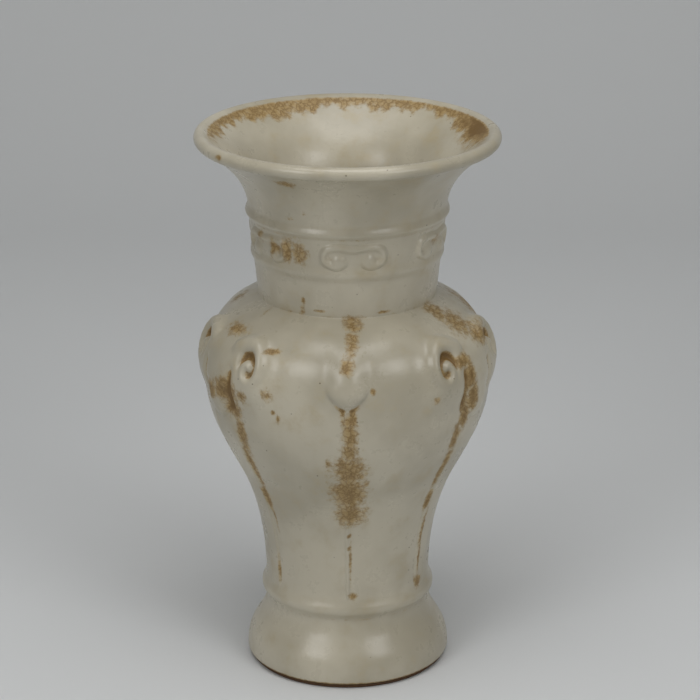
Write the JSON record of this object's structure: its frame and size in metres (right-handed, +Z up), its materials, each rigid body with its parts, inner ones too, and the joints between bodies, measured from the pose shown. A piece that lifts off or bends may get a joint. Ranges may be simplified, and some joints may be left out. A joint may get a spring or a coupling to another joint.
{
  "type": "vase",
  "caption": "Tall trumpet-mouthed stoneware vase with rams' heads in relief on its shoulder, for flowers or display.",
  "frame": {"origin": "centre of the bare clay ring that the vase stands on, on the surface it stands on", "axes": "+Z up along the vase's axis; -Y is the front, where a boss between two rams' heads faces the viewer; +X to the viewer's right"},
  "size_m": [0.1624, 0.1636, 0.2999],
  "materials": {
    "ivory_glaze": "gloss",
    "pooled_glaze": "gloss",
    "stained_glaze": "satin",
    "bare_clay": "matte"
  },
  "bodies": {
    "root": {"mouth_flare": "ivory_glaze", "neck": "ivory_glaze", "neck_upper_ring": "ivory_glaze", "neck_lower_ring": "ivory_glaze", "shoulder": "ivory_glaze", "lower_body": "ivory_glaze", "floor_disc": "pooled_glaze", "waist_ring": "ivory_glaze", "foot": "ivory_glaze", "foot_rim": "bare_clay", "cloud_1": "ivory_glaze", "cloud_2": "ivory_glaze", "cloud_3": "ivory_glaze", "cloud_4": "ivory_glaze", "cloud_5": "ivory_glaze", "cloud_6": "ivory_glaze", "ram_head_1": "ivory_glaze", "ram_horn_1_left": "ivory_glaze", "ram_horn_1_right": "ivory_glaze", "leg_rib_1": "stained_glaze", "boss_1": "pooled_glaze", "boss_rib_1": "stained_glaze", "ram_head_2": "ivory_glaze", "ram_horn_2_left": "ivory_glaze", "ram_horn_2_right": "ivory_glaze", "leg_rib_2": "stained_glaze", "boss_2": "pooled_glaze", "boss_rib_2": "stained_glaze", "ram_head_3": "ivory_glaze", "ram_horn_3_left": "ivory_glaze", "ram_horn_3_right": "ivory_glaze", "leg_rib_3": "stained_glaze", "boss_3": "pooled_glaze", "boss_rib_3": "stained_glaze"}
  },
  "joints": []
}
